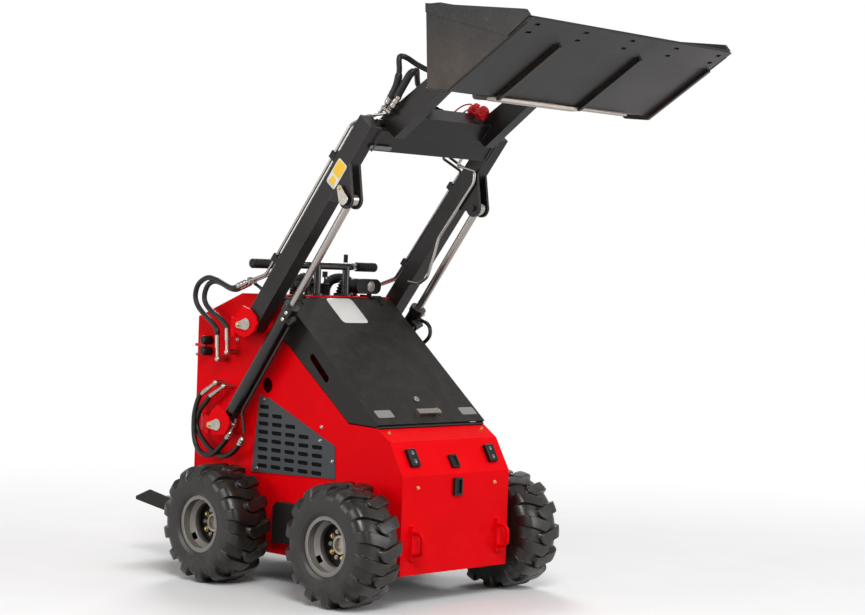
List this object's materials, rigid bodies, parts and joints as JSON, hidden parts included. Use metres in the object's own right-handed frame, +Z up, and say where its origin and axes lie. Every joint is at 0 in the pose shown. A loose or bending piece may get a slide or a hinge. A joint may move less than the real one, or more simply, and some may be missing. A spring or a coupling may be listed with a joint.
{
  "type": "stand-on skid steer loader",
  "caption": "Compact stand-on skid steer loader with four lugged tyres, raised twin lift arms and a tipping bucket.",
  "frame": {"origin": "middle of the overall length and width, on the ground", "axes": "+X forward towards the bucket, +Y to the machine's left, +Z up"},
  "size_m": [2.3931, 1.136, 2.1869],
  "materials": {
    "red_paint": "gloss paint",
    "charcoal_paint": "satin paint",
    "wheel_paint": "silver-grey paint",
    "black_paint": "satin paint",
    "tyre_rubber": "matt rubber",
    "zinc": "zinc plated",
    "chrome": "polished",
    "cast": "dull",
    "black_plastic": "matt"
  },
  "bodies": {
    "base": {"bracket_pins": "zinc", "console_caps": "black_plastic", "console_panel": "red_paint", "control_levers": "black_plastic", "cylinder_bracket_left": "red_paint", "cylinder_bracket_right": "red_paint", "drive_cover_left": "charcoal_paint", "drive_cover_right": "charcoal_paint", "engine_block": "cast", "floor_plate": "red_paint", "front_lamps": "black_plastic", "front_panel": "red_paint", "front_ports": "black_plastic", "grille_left": "charcoal_paint", "grille_right": "charcoal_paint", "handlebar": "black_paint", "hood_hinges": "zinc", "pivot_bracket_left": "red_paint", "pivot_bracket_right": "red_paint", "platform": "charcoal_paint", "rear_panel": "red_paint", "side_fittings": "zinc", "side_plate_left": "red_paint", "side_plate_right": "red_paint", "tie_down_left": "red_paint", "tie_down_right": "red_paint", "wheel_motors": "cast", "work_lamp": "black_plastic"},
    "wheel_front_right": {"tyre_front_right": "tyre_rubber", "rim_front_right": "wheel_paint", "hub_front_right": "black_paint"},
    "wheel_front_left": {"tyre_front_left": "tyre_rubber", "rim_front_left": "wheel_paint", "hub_front_left": "black_paint"},
    "wheel_rear_right": {"tyre_rear_right": "tyre_rubber", "rim_rear_right": "wheel_paint", "hub_rear_right": "black_paint"},
    "wheel_rear_left": {"tyre_rear_left": "tyre_rubber", "rim_rear_left": "wheel_paint", "hub_rear_left": "black_paint"},
    "hood": {"hood": "charcoal_paint", "hood_latch": "zinc"},
    "arms": {"arm_left": "charcoal_paint", "arm_lines_left": "chrome", "arm_lines_right": "chrome", "arm_right": "charcoal_paint", "crossbeam": "charcoal_paint", "front_frame": "charcoal_paint", "link_plate_left": "zinc", "link_plate_right": "zinc"},
    "lift_barrel_right": {"lift_barrel_right": "charcoal_paint"},
    "lift_rod_right": {"lift_rod_right": "chrome"},
    "lift_barrel_left": {"lift_barrel_left": "charcoal_paint"},
    "lift_rod_left": {"lift_rod_left": "chrome"},
    "tilt_barrel": {"tilt_barrel": "charcoal_paint"},
    "tilt_rod": {"tilt_rod": "chrome"},
    "bucket": {"bucket_shell": "charcoal_paint", "bucket_side_left": "charcoal_paint", "bucket_side_right": "charcoal_paint", "hitch_plate": "charcoal_paint"}
  },
  "joints": [
    {"name": "wheel_front_right_spin", "type": "hinge", "parent": "base", "child": "wheel_front_right", "pos_m": [0.2505, -0.441, 0.2325], "axis": [0, 1, 0], "continuous": true},
    {"name": "wheel_front_left_spin", "type": "hinge", "parent": "base", "child": "wheel_front_left", "pos_m": [0.2505, 0.441, 0.2325], "axis": [0, 1, 0], "continuous": true},
    {"name": "wheel_rear_right_spin", "type": "hinge", "parent": "base", "child": "wheel_rear_right", "pos_m": [-0.4795, -0.441, 0.2325], "axis": [0, 1, 0], "continuous": true},
    {"name": "wheel_rear_left_spin", "type": "hinge", "parent": "base", "child": "wheel_rear_left", "pos_m": [-0.4795, 0.441, 0.2325], "axis": [0, 1, 0], "continuous": true},
    {"name": "hood_hinge", "type": "hinge", "parent": "base", "child": "hood", "pos_m": [-0.2925, 0, 1.138], "axis": [0, -1, 0], "range_deg": [0, 60]},
    {"name": "lift", "type": "hinge", "parent": "base", "child": "arms", "pos_m": [-0.3905, 0, 1.022], "axis": [0, 1, 0], "range_deg": [0, 78]},
    {"name": "lift_barrel_right_swing", "type": "hinge", "parent": "base", "child": "lift_barrel_right", "pos_m": [-0.5485, -0.351, 0.613], "axis": [0, 1, 0], "range_deg": [0, 53.08]},
    {"name": "lift_rod_right_slide", "type": "slide", "parent": "lift_barrel_right", "child": "lift_rod_right", "axis": [0.6052, 0, 0.7961], "range_m": [-0.38299, 0]},
    {"name": "lift_barrel_left_swing", "type": "hinge", "parent": "base", "child": "lift_barrel_left", "pos_m": [-0.5485, 0.351, 0.613], "axis": [0, 1, 0], "range_deg": [0, 53.08]},
    {"name": "lift_rod_left_slide", "type": "slide", "parent": "lift_barrel_left", "child": "lift_rod_left", "axis": [0.6052, 0, 0.7961], "range_m": [-0.38299, 0]},
    {"name": "bucket_tilt", "type": "hinge", "parent": "arms", "child": "bucket", "pos_m": [0.6455, 0, 2.045], "axis": [0, -1, 0], "range_deg": [-65, 50]},
    {"name": "tilt_barrel_swing", "type": "hinge", "parent": "arms", "child": "tilt_barrel", "pos_m": [0.1205, 0, 1.893], "axis": [0, 1, 0], "range_deg": [-3, 3.9]},
    {"name": "tilt_rod_slide", "type": "slide", "parent": "tilt_barrel", "child": "tilt_rod", "axis": [0.8784, 0, 0.4779], "range_m": [-0.08029, 0.10437]}
  ],
  "couplings": [
    {"joint": "lift_barrel_right_swing", "follows": "lift", "ratio": 0.68046},
    {"joint": "lift_rod_right_slide", "follows": "lift", "m_per_rad": -0.28133},
    {"joint": "lift_barrel_left_swing", "follows": "lift", "ratio": 0.68046},
    {"joint": "lift_rod_left_slide", "follows": "lift", "m_per_rad": -0.28133},
    {"joint": "tilt_barrel_swing", "follows": "bucket_tilt", "ratio": -0.06},
    {"joint": "tilt_rod_slide", "follows": "bucket_tilt", "m_per_rad": -0.092}
  ]
}
